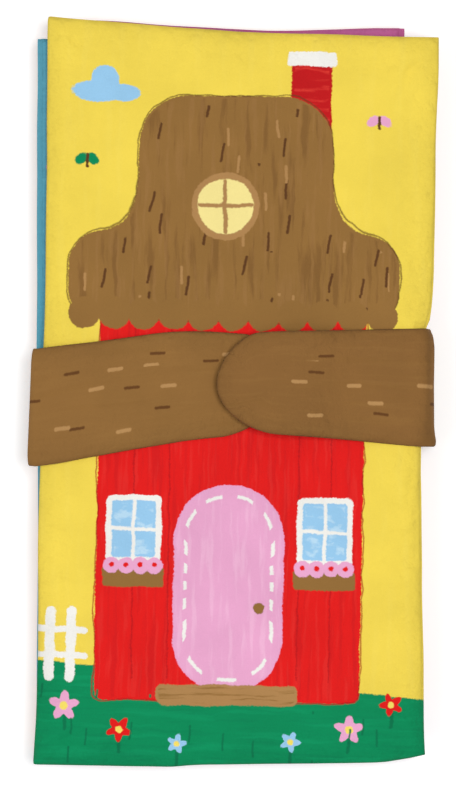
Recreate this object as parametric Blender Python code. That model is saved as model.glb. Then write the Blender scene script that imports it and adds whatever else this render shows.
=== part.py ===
"""Crinkle book, folded shut: five padded cloth pages in a zigzag, held by two padded arms.

Metres, +Z up. The book lies on its back cover, front cover up, head of the page towards +Y.
The origin is on the table under the middle of the closed book.
"""
import math

import bmesh
import bpy
from mathutils import Matrix, Vector

# Layers of cloth, wadding and crinkling film
CLOTH = 0.0005
WADDING = 0.0012
FILM = 0.0002
EASE = 0.0003
PAGE_THICK = 2 * CLOTH + WADDING + FILM + 3 * EASE
PAGE_PITCH = PAGE_THICK + EASE
SEAM_HALF = CLOTH + EASE / 2

# The closed book
BOOK_WIDTH = 0.125
BOOK_LENGTH = 0.231
PAGE_RIM = 0.005
PAGE_CORNER = 0.0014
COVER_CROWN = 0.001

# Edges of each page, from the back cover up: left and right edge at foot and head, as shares
# of the width, then foot and head edge at left and right, as shares of the length
PAGE_EDGE_SHARES = {
    "back_cover": ((-0.452, -0.452), (0.456, 0.456), (-0.489, -0.474), (0.4805, 0.474)),
    "page_4": ((-0.452, -0.452), (0.4016, 0.4016), (-0.485, -0.470), (0.476, 0.472)),
    "page_3": ((-0.456, -0.469), (0.4016, 0.4016), (-0.487, -0.472), (0.498, 0.4944)),
    "page_2": ((-0.453, -0.4875), (0.4776, 0.4776), (-0.491, -0.472), (0.4706, 0.474)),
    "front_cover": ((-0.472, -0.472), (0.480, 0.480), (-0.4985, -0.4818), (0.5002, 0.4816)),
}
# How far the head edge is drawn in and the foot edge swells at mid width, as shares of the length
HEAD_DRAW_SHARES = {"front_cover": 0.0052, "page_3": 0.0082}
FOOT_SWELL_SHARES = {"front_cover": 0.0065}

# Folds between pages: cloth without wadding, standing out past the page edges
FOLD_THICK = 0.001
FOLD_REACH = 0.0012
FOLD_AXIS_CLEAR = 0.0008
FOLD_END_SHARE = 0.012

# The right arm grips the folds it passes and draws a waist into them
GRIP = 0.0005
WAIST_FOOT_POWER = 0.6
WAIST_HEAD_POWER = 8

# Arms
ARM_WADDING = 0.001
ARM_THICK = 2 * CLOTH + ARM_WADDING + 2 * EASE
ARM_RIM = 0.004
ARM_ROOT_WIDTH = 0.0358
ARM_TIP_WIDTH = 0.030
ARM_TIP_RADIUS = 0.013
ARM_ROOT_CORNER = 0.0012
BEND_THICK = 0.0012

# The arms' tips lie over each other, a little right of the cover's middle
ARM_MEETING_SHARE = 0.045
ARM_OVERLAP = 0.02085
LEFT_ARM_ROOT_Y = -0.0049
LEFT_ARM_RISE = 0.0085
LEFT_ARM_CURVE_SHARE = 1.7
LEFT_ROOT_STEP = 0.0008

RIGHT_ARM_ROOT_Y = 0.0035
RIGHT_ARM_RISE = 0.0004
RIGHT_ARM_CURVE_SHARE = 1.0
CORNER_REACH = 0.0027
LOWER_REACH = 0.003
RAMP_LENGTH = 0.020
RAMP_MARGIN = 0.002

# Fastening patches between the two arms' tips
PATCH = 0.0008
PATCH_MARGIN = 0.004425
PATCH_LENGTH = ARM_OVERLAP - 2 * PATCH_MARGIN
PATCH_WIDTH = 0.018
PATCH_CORNER = 0.002

# Where the points of the sheets lie: over a rounded rim, as shares of the rim, and between
# two rims, as shares of the width or length
RIM_SHARES = (0, 0.35, 1)
PAGE_COLUMN_SHARES = (0.34, 0.66)
PAGE_LINE_SHARES = (0.2, 0.4, 0.6, 0.8)
GRIPPED_LINE_SHARES = (0.12, 0.22, 0.34, 0.66, 0.73, 0.84)
INNER_SHARES = (0.34, 0.66)
ARM_COLUMN_SHARES = (0.26, 0.5, 0.74)
LEFT_ARM_LINE_SHARES = (0.25, 0.5, 0.7, 0.828, 0.89)
RIGHT_ARM_LINE_SHARES = (0.2, 0.32, 0.4, 0.48, 0.56, 0.64, 0.79, 0.87)
MIDDLE_SHARES = (0.5,)
TURN_STEPS = 6
CREASE_ANGLE = math.radians(40)

# How rough each stuff is
CLOTH_ROUGHNESS = 0.85
WADDING_ROUGHNESS = 0.95
FILM_ROUGHNESS = 0.3
PATCH_ROUGHNESS = 0.9

# Colours in sRGB, as seen on the object
YELLOW = (246, 219, 84)
TEAL = (80, 152, 170)
MAGENTA = (190, 92, 150)
ORANGE = (240, 150, 70)
PALE_BLUE = (155, 205, 240)
BROWN = (143, 103, 55)
TAN = (173, 132, 80)
WHITE = (236, 236, 232)
SILVER = (200, 205, 210)


def linear(channel):
    """One sRGB channel from 0 to 255 as a linear value."""
    share = channel / 255
    return share / 12.92 if share <= 0.04045 else ((share + 0.055) / 1.055) ** 2.4


def make_material(name, colour, roughness, metallic=0.0):
    """The piece's own material."""
    material = bpy.data.materials.new(name)
    material.use_nodes = True
    shader = material.node_tree.nodes["Principled BSDF"]
    shader.inputs["Base Color"].default_value = (*(linear(channel) for channel in colour), 1.0)
    shader.inputs["Roughness"].default_value = roughness
    shader.inputs["Metallic"].default_value = metallic
    return material


class Pivot:
    """An empty on a joint's axis, which carries the pieces that turn with it."""

    def __init__(self, name, place, carrier=None):
        self.place = Vector(place)
        self.empty = bpy.data.objects.new(name, None)
        bpy.context.scene.collection.objects.link(self.empty)
        self.empty.location = self.place
        if carrier:
            self.empty.parent = carrier.empty
            self.empty.location = self.place - carrier.place

    def carry(self, name, form, material):
        """Hang a finished form, drawn at its place in the closed book, on this pivot."""
        mesh = bpy.data.meshes.new(name)
        form.to_mesh(mesh)
        form.free()
        mesh.transform(Matrix.Translation(-self.place))
        mesh.shade_smooth()
        mesh.set_sharp_from_angle(angle=CREASE_ANGLE)
        mesh.materials.append(material)
        piece = bpy.data.objects.new(name, mesh)
        bpy.context.scene.collection.objects.link(piece)
        piece.parent = self.empty
        return piece


def ease_in_out(share):
    """A smooth step from 0 to 1."""
    share = min(1, max(0, share))
    return share * share * (3 - 2 * share)


def blend(start, end, share):
    """The value at a share of the way from start to end."""
    return start + (end - start) * share


def quad_grid(form, rows):
    """Faces between rows of points, and the points as vertices."""
    grid = [[form.verts.new(point) for point in row] for row in rows]
    for lower, upper in zip(grid, grid[1:]):
        for corners in zip(lower, lower[1:], upper[1:], upper):
            form.faces.new(corners)
    return grid


def sheet(rows, facing):
    """An open sheet whose faces look along facing."""
    form = bmesh.new()
    quad_grid(form, rows)
    form.normal_update()
    outlook = sum((face.normal * face.calc_area() for face in form.faces), Vector())
    if outlook.dot(facing) < 0:
        bmesh.ops.reverse_faces(form, faces=form.faces)
    return form


def slab(top_rows, bottom_rows):
    """A closed slab between two like grids of points."""
    form = bmesh.new()
    top = quad_grid(form, top_rows)
    bottom = quad_grid(form, bottom_rows)

    def rim(grid):
        return (grid[0] + [row[-1] for row in grid[1:]]
                + grid[-1][-2::-1] + [row[0] for row in grid[-2:0:-1]])

    upper, lower = rim(top), rim(bottom)
    for index, corner in enumerate(upper):
        form.faces.new((corner, upper[index - 1], lower[index - 1], lower[index]))
    bmesh.ops.recalc_face_normals(form, faces=form.faces)
    return form


def thicken(piece, thickness, offset):
    """Give a sheet its thickness; offset -1 grows it away from its faces, 0 both ways."""
    solid = piece.modifiers.new("thickness", "SOLIDIFY")
    solid.thickness = thickness
    solid.offset = offset


class Pad:
    """A quilted shape: a middle surface, its rounded rim and the layers sewn inside it."""

    def __init__(self, width, length, rim, near_corner, far_corner):
        self.width = width
        self.length = length
        self.rim = rim
        self.near_corner = near_corner
        self.far_corner = far_corner

    def rounded(self, across, along):
        """Shares across and along, drawn in so that the outline's corners are round."""
        corner = self.near_corner if along < 0.5 else self.far_corner
        side = min(across, 1 - across) * self.width
        end = min(along, 1 - along) * self.length
        if side >= corner or end >= corner:
            return across, along
        side_reach, end_reach = corner - side, corner - end
        pull = max(side_reach, end_reach) / math.hypot(side_reach, end_reach)
        side = (corner - side_reach * pull) / self.width
        end = (corner - end_reach * pull) / self.length
        return (side if across < 0.5 else 1 - side), (end if along < 0.5 else 1 - end)

    def rise(self, across, along):
        """How much of the full thickness the pad has at a place: 0 on the seam, 1 inside."""
        edge = min(min(across, 1 - across) * self.width, min(along, 1 - along) * self.length)
        return math.sin(math.pi / 2 * min(1, edge / self.rim))

    def stations(self, size, between, inset=0):
        """Shares of one size: the two rims' points and the ones between."""
        near = [self.rim] if inset else [share * self.rim for share in RIM_SHARES]
        ends = [distance / size for distance in near]
        return sorted(ends + list(between) + [1 - share for share in ends])

    def rows(self, columns, lines, height):
        """Points on the surface that lies height(across, along) over the middle surface."""
        return [[self.place(*self.rounded(across, along), height(across, along))
                 for across in columns] for along in lines]


class Page(Pad):
    """One page, between its folds or free edges, lying flat."""

    def __init__(self, name, level):
        left, right, foot, head = PAGE_EDGE_SHARES[name]
        self.left = [share * BOOK_WIDTH for share in left]
        self.right = [share * BOOK_WIDTH for share in right]
        self.foot = [share * BOOK_LENGTH for share in foot]
        self.head = [share * BOOK_LENGTH for share in head]
        self.draw = HEAD_DRAW_SHARES.get(name, 0) * BOOK_LENGTH
        self.swell = FOOT_SWELL_SHARES.get(name, 0) * BOOK_LENGTH
        self.middle = level * PAGE_PITCH + PAGE_THICK / 2
        self.crown = COVER_CROWN if name == "front_cover" else 0
        fold_edge = self.right[0] + EASE + FOLD_REACH + FOLD_THICK / 2
        self.waist = max(0, fold_edge + EASE + GRIP - SIDE_INNER)
        super().__init__(self.right[0] - self.left[0], self.head[0] - self.foot[0],
                         PAGE_RIM, PAGE_CORNER, PAGE_CORNER)
        height = self.head[1] - self.foot[1]
        self.grip_shares = [(y - self.foot[1]) / height for y in GRIPPED_Y]
        self.columns = self.stations(self.width, PAGE_COLUMN_SHARES)
        lines = PAGE_LINE_SHARES
        if self.waist:
            lines = GRIPPED_LINE_SHARES + tuple(self.grip_shares)
        self.lines = self.stations(self.length, lines)

    def waist_share(self, along):
        """How far the right edge is drawn in: fully beside the arm, not at the corners."""
        low, high = self.grip_shares
        if along < low:
            return max(0, along / low) ** WAIST_FOOT_POWER
        if along > high:
            return max(0, (1 - along) / (1 - high)) ** WAIST_HEAD_POWER
        return 1

    def bulge(self, across, along):
        """Share of the crown at a place."""
        return max(0, 1 - (2 * across - 1) ** 2) * max(0, 1 - (2 * along - 1) ** 2)

    def place(self, across, along, height):
        """The point at shares across and along, height over the page's middle."""
        right = blend(*self.right, along) - self.waist * self.waist_share(along)
        bow = 4 * across * (1 - across)
        foot = blend(*self.foot, across) - self.swell * bow
        head = blend(*self.head, across) - self.draw * bow
        return Vector((blend(blend(*self.left, along), right, across),
                       blend(foot, head, along), self.middle + height))

    def over(self, x, y):
        """Height of the page's outer face over the table, as it is inside the rim."""
        across = (x - self.left[0]) / self.width
        along = (y - self.foot[0]) / self.length
        return self.middle + PAGE_THICK / 2 + self.crown * self.bulge(across, along)

    def edge(self, side, along):
        """The point on the left (-1) or right (+1) edge."""
        return self.place((1 + side) / 2, along, 0)

    def sew(self, pivot, upper_cloth, lower_cloth, name):
        """The page's two cloths and what they hold: each entry is a name and a colour."""
        half = PAGE_THICK / 2

        def outer(across, along):
            crown = self.crown * self.bulge(across, along)
            return SEAM_HALF + (half - SEAM_HALF) * self.rise(across, along) + crown

        def lower(across, along):
            return -SEAM_HALF - (half - SEAM_HALF) * self.rise(across, along)

        for (cloth, colour), height, facing in (
                (upper_cloth, outer, Vector((0, 0, 1))), (lower_cloth, lower, Vector((0, 0, -1)))):
            rows = self.rows(self.columns, self.lines, height)
            material = make_material(cloth, colour, CLOTH_ROUGHNESS)
            thicken(pivot.carry(cloth, sheet(rows, facing), material), CLOTH, -1)

        def layer(below, thickness):
            """A flat layer inside the page; both its faces follow the crown."""
            def height_of(level):
                return lambda across, along: level + self.crown * self.bulge(across, along)
            inner = (self.stations(self.width, INNER_SHARES, inset=True),
                     self.stations(self.length, INNER_SHARES, inset=True))
            return slab(self.rows(*inner, height_of(below + thickness)),
                        self.rows(*inner, height_of(below)))

        wadding_foot = CLOTH + EASE - half
        film_foot = wadding_foot + WADDING + EASE
        pivot.carry(name + "_wadding", layer(wadding_foot, WADDING),
                    make_material(name + "_wadding", WHITE, WADDING_ROUGHNESS))
        pivot.carry(name + "_crinkle_film", layer(film_foot, FILM),
                    make_material(name + "_crinkle_film", SILVER, FILM_ROUGHNESS))


class Arm(Pad):
    """A padded arm lying over the front cover, from its root to its rounded tip."""

    def __init__(self, cover, root_x, direction, root_y, rise, curve_share, lift_of):
        self.cover = cover
        self.root_x = root_x
        self.direction = direction
        length = direction * (MEETING_X - root_x) + ARM_OVERLAP / 2
        self.root_y = root_y
        self.climb = rise
        self.curve_share = curve_share
        self.lift_of = lift_of
        super().__init__((ARM_ROOT_WIDTH + ARM_TIP_WIDTH) / 2, length, ARM_RIM,
                         ARM_ROOT_CORNER, ARM_TIP_RADIUS)

    def place(self, across, along, height):
        """The point at shares across and along, height over the arm's middle."""
        x = self.root_x + self.direction * along * self.length
        curve = self.curve_share * along - (self.curve_share - 1) * along ** 2
        wide = blend(ARM_ROOT_WIDTH, ARM_TIP_WIDTH, along)
        y = self.root_y + self.climb * curve + (across - 0.5) * wide
        middle = self.cover.over(x, y) + EASE + self.lift_of(x) + ARM_THICK / 2
        return Vector((x, y, middle + height))


class ArmSide(Pad):
    """The stretch of the right arm that stands up beside the folds."""

    def __init__(self, foot, top):
        self.foot = foot
        super().__init__(ARM_ROOT_WIDTH, top - foot, ARM_RIM, ARM_ROOT_CORNER, ARM_ROOT_CORNER)

    def place(self, across, along, height):
        """The point at shares across and along, height outwards from the middle."""
        y = RIGHT_ARM_ROOT_Y + (across - 0.5) * ARM_ROOT_WIDTH
        return Vector((SIDE_MIDDLE + height, y, self.foot + along * self.length))


def sew_arm(arm, pivot, names, outward, along_shares):
    """An arm's outer cloth, lining and wadding."""
    half = ARM_THICK / 2
    columns = arm.stations(arm.width, ARM_COLUMN_SHARES)
    lines = arm.stations(arm.length, along_shares)

    def surface(sign):
        return lambda across, along: sign * (
            SEAM_HALF + (half - SEAM_HALF) * arm.rise(across, along))

    for name, sign in zip(names[:2], (1, -1)):
        form = sheet(arm.rows(columns, lines, surface(sign)), outward * sign)
        thicken(pivot.carry(name, form, make_material(name, BROWN, CLOTH_ROUGHNESS)), CLOTH, -1)
    inner = (arm.stations(arm.width, ARM_COLUMN_SHARES, inset=True),
             arm.stations(arm.length, along_shares, inset=True))
    low = CLOTH + EASE - half
    form = slab(arm.rows(*inner, lambda across, along: low + ARM_WADDING),
                arm.rows(*inner, lambda across, along: low))
    pivot.carry(names[2], form, make_material(names[2], WHITE, WADDING_ROUGHNESS))


def turned_strip(starts, ends, reach):
    """Rows of a strip that leaves each start level, turns half round and comes back."""
    rows = []
    for step in range(TURN_STEPS + 1):
        turn = step / TURN_STEPS
        row = []
        for start, end in zip(starts, ends):
            point = start.lerp(end, turn)
            point.x += reach * math.sin(math.pi * turn)
            point.z = blend(start.z, end.z, (1 - math.cos(math.pi * turn)) / 2)
            row.append(point)
        rows.append(row)
    return rows


def quarter_strip(start, end, level_first):
    """Rows of an arm's unpadded bend, a quarter turn from start to end in X and Z."""
    edges = [RIGHT_ARM_ROOT_Y + side * ARM_ROOT_WIDTH / 2 for side in (-1, 0, 1)]
    rows = []
    for step in range(TURN_STEPS + 1):
        angle = math.pi / 2 * step / TURN_STEPS
        first, second = math.sin(angle), 1 - math.cos(angle)
        x_share, z_share = (first, second) if level_first else (second, first)
        x, z = blend(start[0], end[0], x_share), blend(start[1], end[1], z_share)
        rows.append([Vector((x, y, z)) for y in edges])
    return rows


def carry_strip(pivot, name, rows, thickness, colour):
    """A strip of cloth without wadding."""
    material = make_material(name, colour, CLOTH_ROUGHNESS)
    thicken(pivot.carry(name, sheet(rows, Vector((0, 0, 1))), material), thickness, 0)


def fold_strip(lower, upper, side, pivot, name, colour):
    """The fold that joins two pages at their left (-1) or right (+1) edges."""
    inner = [share for share in upper.lines if FOLD_END_SHARE < share < 1 - FOLD_END_SHARE]
    shares = [FOLD_END_SHARE, *inner, 1 - FOLD_END_SHARE]
    away = Vector((side * EASE, 0, 0))
    starts = [upper.edge(side, share) + away for share in shares]
    ends = [lower.edge(side, share) + away for share in shares]
    carry_strip(pivot, name, turned_strip(starts, ends, side * FOLD_REACH), FOLD_THICK, colour)


def fold_axis(lower, upper, side):
    """Where the fold's axis lies: just outside both pages' edges, half way between them."""
    edges = [page.edge(side, along).x for page in (lower, upper) for along in (0, 1)]
    outermost = max(edges, key=abs)
    return (outermost + side * FOLD_AXIS_CLEAR, 0, (lower.middle + upper.middle) / 2)


class Patch(Pad):
    """A fastening patch whose lower face lies over an arm's face."""

    def __init__(self, middle, face):
        self.middle = middle
        self.face = face
        super().__init__(PATCH_WIDTH, PATCH_LENGTH, PATCH_CORNER, PATCH_CORNER, PATCH_CORNER)

    def place(self, across, along, height):
        """The point at shares across and along, height over the patch's lower face."""
        x = self.middle[0] + (along - 0.5) * PATCH_LENGTH
        y = self.middle[1] + (across - 0.5) * PATCH_WIDTH
        return Vector((x, y, self.face(x, y) + height))

    def cut(self):
        """The patch as a closed slab."""
        spread = (self.stations(PATCH_WIDTH, MIDDLE_SHARES),
                  self.stations(PATCH_LENGTH, MIDDLE_SHARES))
        return slab(self.rows(*spread, lambda across, along: PATCH),
                    self.rows(*spread, lambda across, along: 0))


# Where the arms meet, and where the right arm stands beside the folds
MEETING_X = ARM_MEETING_SHARE * BOOK_WIDTH
SIDE_INNER = BOOK_WIDTH / 2 - ARM_THICK
SIDE_MIDDLE = BOOK_WIDTH / 2 - ARM_THICK / 2
GRIPPED_Y = [RIGHT_ARM_ROOT_Y + side * (ARM_ROOT_WIDTH / 2 + EASE) for side in (-1, 1)]

for leftover in list(bpy.data.objects):
    bpy.data.objects.remove(leftover)

pages = [Page(name, level) for level, name in enumerate(PAGE_EDGE_SHARES)]
back, page_4, page_3, page_2, cover = pages

# The pages turn on their folds, each carried by the one below
book = Pivot("book", (0, 0, 0))
turn_4 = Pivot("turn_of_page_4", fold_axis(back, page_4, -1), book)
turn_3 = Pivot("turn_of_page_3", fold_axis(page_4, page_3, 1), turn_4)
turn_2 = Pivot("turn_of_page_2", fold_axis(page_3, page_2, -1), turn_3)
turn_cover = Pivot("turn_of_front_cover", fold_axis(page_2, cover, 1), turn_2)

back.sew(book, ("back_cover_inner_cloth", PALE_BLUE), ("back_cover_outer_cloth", YELLOW),
         "back_cover")
page_4.sew(turn_4, ("page_4_upper_cloth", ORANGE), ("page_4_lower_cloth", PALE_BLUE), "page_4")
page_3.sew(turn_3, ("page_3_upper_cloth", MAGENTA), ("page_3_lower_cloth", ORANGE), "page_3")
page_2.sew(turn_2, ("page_2_upper_cloth", TEAL), ("page_2_lower_cloth", MAGENTA), "page_2")
cover.sew(turn_cover, ("front_cover_outer_cloth", YELLOW), ("front_cover_inner_cloth", TEAL),
          "front_cover")

fold_strip(back, page_4, -1, book, "fold_back_cover_to_page_4", ORANGE)
fold_strip(page_4, page_3, 1, turn_4, "fold_page_4_to_page_3", MAGENTA)
fold_strip(page_3, page_2, -1, turn_3, "fold_page_3_to_page_2", TEAL)
fold_strip(page_2, cover, 1, turn_2, "fold_page_2_to_front_cover", YELLOW)

# The left arm is sewn to the cover's free left edge, bends back and lies on the cover
left_arm = Arm(cover, cover.left[0] - LEFT_ROOT_STEP, 1, LEFT_ARM_ROOT_Y, LEFT_ARM_RISE,
               LEFT_ARM_CURVE_SHARE, lambda x: 0)
left_root_z = left_arm.place(0.5, 0, 0).z
turn_left_arm = Pivot("turn_of_left_arm", (left_arm.root_x - FOLD_AXIS_CLEAR, 0,
                                           (cover.middle + left_root_z) / 2), turn_cover)
sew_arm(left_arm, turn_left_arm, ("left_arm_outer_cloth", "left_arm_lining", "left_arm_wadding"),
        Vector((0, 0, 1)), LEFT_ARM_LINE_SHARES)

seam_x, root_x = cover.left[0] - EASE, left_arm.root_x - EASE
root_edges = [left_arm.place(across, 0, 0) for across in (0, 0.5, 1)]
left_reach = BOOK_WIDTH / 2 - BEND_THICK / 2 + (seam_x + root_x) / 2
carry_strip(turn_cover, "left_arm_bend",
            turned_strip([Vector((seam_x, edge.y, cover.middle)) for edge in root_edges],
                         [Vector((root_x, edge.y, edge.z)) for edge in root_edges], -left_reach),
            BEND_THICK, BROWN)

# The right arm is sewn to the back cover's free right edge, climbs past the folds, turns
# the corner and lies on the cover, its tip raised over the left arm's tip
left_tip = left_arm.place(0.5, 1, 0)
ramp_start = left_tip.x + RAMP_MARGIN + RAMP_LENGTH
tip_lift = ARM_THICK + 2 * PATCH + 3 * EASE
right_arm = Arm(cover, SIDE_MIDDLE - CORNER_REACH - EASE, -1, RIGHT_ARM_ROOT_Y,
                RIGHT_ARM_RISE, RIGHT_ARM_CURVE_SHARE,
                lambda x: tip_lift * ease_in_out((ramp_start - x) / RAMP_LENGTH))
right_root_z = right_arm.place(0.5, 0, 0).z
side = ArmSide(back.middle + LOWER_REACH + EASE, right_root_z - CORNER_REACH - EASE)
turn_side = Pivot("turn_of_right_arm_side", (SIDE_MIDDLE, 0, back.middle), book)
turn_right_arm = Pivot("turn_of_right_arm", (SIDE_MIDDLE, 0, right_root_z), turn_side)

sew_arm(side, turn_side,
        ("right_arm_side_cloth", "right_arm_side_lining", "right_arm_side_wadding"),
        Vector((1, 0, 0)), MIDDLE_SHARES)
sew_arm(right_arm, turn_right_arm,
        ("right_arm_outer_cloth", "right_arm_lining", "right_arm_wadding"),
        Vector((0, 0, 1)), RIGHT_ARM_LINE_SHARES)
carry_strip(turn_side, "right_arm_lower_bend",
            quarter_strip((back.right[0] + EASE, back.middle),
                          (SIDE_MIDDLE, back.middle + LOWER_REACH), True), BEND_THICK, BROWN)
carry_strip(turn_side, "right_arm_upper_bend",
            quarter_strip((SIDE_MIDDLE, right_root_z - CORNER_REACH),
                          (right_arm.root_x + EASE, right_root_z), False), BEND_THICK, BROWN)

# The patches that fasten the arms lie between their tips
right_tip = right_arm.place(0.5, 1, 0)
patch_middle = ((left_tip.x + right_tip.x) / 2, (left_tip.y + right_tip.y) / 2)
hook_patch = Patch(patch_middle, lambda x, y: cover.over(x, y) + ARM_THICK + 2 * EASE)
loop_patch = Patch(patch_middle, lambda x, y: hook_patch.face(x, y) + PATCH + EASE)
turn_left_arm.carry("hook_patch", hook_patch.cut(),
                    make_material("hook_patch", TAN, PATCH_ROUGHNESS))
turn_right_arm.carry("loop_patch", loop_patch.cut(),
                     make_material("loop_patch", TAN, PATCH_ROUGHNESS))
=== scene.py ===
"""The looks of a cloth crinkle book: printed padded pages folded shut under two padded arms."""
import math

import bmesh
import bpy
from mathutils import Matrix, Vector, noise


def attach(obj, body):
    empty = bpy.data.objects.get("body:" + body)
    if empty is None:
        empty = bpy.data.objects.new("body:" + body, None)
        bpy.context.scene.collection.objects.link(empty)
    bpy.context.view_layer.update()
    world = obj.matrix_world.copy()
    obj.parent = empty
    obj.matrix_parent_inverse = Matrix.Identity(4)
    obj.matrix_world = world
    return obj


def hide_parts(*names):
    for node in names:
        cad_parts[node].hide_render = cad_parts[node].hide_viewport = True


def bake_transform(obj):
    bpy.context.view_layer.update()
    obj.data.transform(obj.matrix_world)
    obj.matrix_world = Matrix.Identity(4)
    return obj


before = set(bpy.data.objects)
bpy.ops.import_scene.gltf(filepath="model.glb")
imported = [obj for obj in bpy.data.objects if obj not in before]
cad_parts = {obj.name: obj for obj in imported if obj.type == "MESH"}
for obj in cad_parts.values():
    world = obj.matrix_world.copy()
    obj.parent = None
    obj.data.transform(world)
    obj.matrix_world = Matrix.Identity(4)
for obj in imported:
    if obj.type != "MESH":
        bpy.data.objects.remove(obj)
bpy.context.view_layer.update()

# The back cover, the lowest of the five pages. A page is a case of two printed polyester
# cloths, sewn round the edge and turned, with thin wadding and a rustling film inside. It
# swells from its seam like a flat cushion, and its outer cloth is flat where it lies.
PAGE_RIM = 0.0055
PAGE_CORNER = 0.0012
FOLD_CORNER = 0.0003
SEAM_POWER = 2.3
SAME_PLACE = 1e-6
PAGE_MESH = (64, 110)
PAGE_PUCKER = 0.00022
EDGE_WANDER = 0.0004
MILLIMETRES = 1000
INK_EDGE = 0.35
THREAD_PITCH = 0.42
CRUMPLE_REACH = 15
CRUMPLE_SCALE = 0.24
CRUMPLE_RISE = 0.0016


def ink(red, green, blue):
    """A printed colour, given as it looks on a screen, for a shader."""
    def linear(channel):
        share = channel / 255
        return share / 12.92 if share <= 0.04045 else ((share + 0.055) / 1.055) ** 2.4
    return (linear(red), linear(green), linear(blue), 1.0)


class Value:
    """A number or vector that changes over a surface; sums on it add Math nodes."""

    def __init__(self, finish, socket):
        self.finish = finish
        self.socket = socket

    def math(self, operation, *terms, clamp=False):
        settings = {"operation": operation, "use_clamp": clamp}
        return self.finish.node("ShaderNodeMath", settings, dict(enumerate(terms)))

    def __add__(self, other):
        return self.math("ADD", self, other)

    def __sub__(self, other):
        return self.math("SUBTRACT", self, other)

    def __rsub__(self, other):
        return self.math("SUBTRACT", other, self)

    def __mul__(self, other):
        return self.math("MULTIPLY", self, other)

    def __truediv__(self, other):
        return self.math("DIVIDE", self, other)

    __radd__ = __add__
    __rmul__ = __mul__

    def size(self):
        return self.math("ABSOLUTE", self)

    def at_least(self, other):
        return self.math("MAXIMUM", self, other)

    def over(self, limit):
        return self.math("GREATER_THAN", self, limit)

    def inside(self, edge):
        """1 where this distance is below zero, 0 outside, over a soft edge."""
        return self.math("MULTIPLY_ADD", self, -1 / edge, 0.5, clamp=True)


class Finish:
    """A material being made: its nodes and its shader."""

    def __init__(self, name):
        self.material = bpy.data.materials.new(name)
        self.material.use_nodes = True
        self.tree = self.material.node_tree
        self.shader = self.tree.nodes["Principled BSDF"]

    def node(self, kind, settings=None, inputs=None, output=0):
        made = self.tree.nodes.new(kind)
        for name, setting in (settings or {}).items():
            setattr(made, name, setting)
        for key, value in (inputs or {}).items():
            self.feed(made.inputs[key], value)
        return Value(self, made.outputs[output])

    def feed(self, socket, value):
        if isinstance(value, Value):
            self.tree.links.new(value.socket, socket)
        else:
            socket.default_value = value

    def vector(self, operation, *terms, output=0):
        return self.node("ShaderNodeVectorMath", {"operation": operation},
                         dict(enumerate(terms)), output)

    def place(self, scale, layer=None):
        """Where a point is, in millimetres: on the object, or on its UV layer."""
        if layer:
            spot = self.node("ShaderNodeUVMap", {"uv_map": layer})
        else:
            spot = self.node("ShaderNodeTexCoord", output="Object")
        return self.vector("MULTIPLY", spot, scale)

    def cloud(self, point, scale, detail=2.0, colour=False):
        """Soft noise from 0 to 1 over a point, or three of them as a vector."""
        return self.node("ShaderNodeTexNoise", None,
                         {"Vector": point, "Scale": scale, "Detail": detail},
                         "Color" if colour else 0)

    def mix(self, share, first, second, blend="MIX"):
        return self.node("ShaderNodeMix", {"data_type": "RGBA", "blend_type": blend},
                         {0: share, 6: first, 7: second}, 2)


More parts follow.
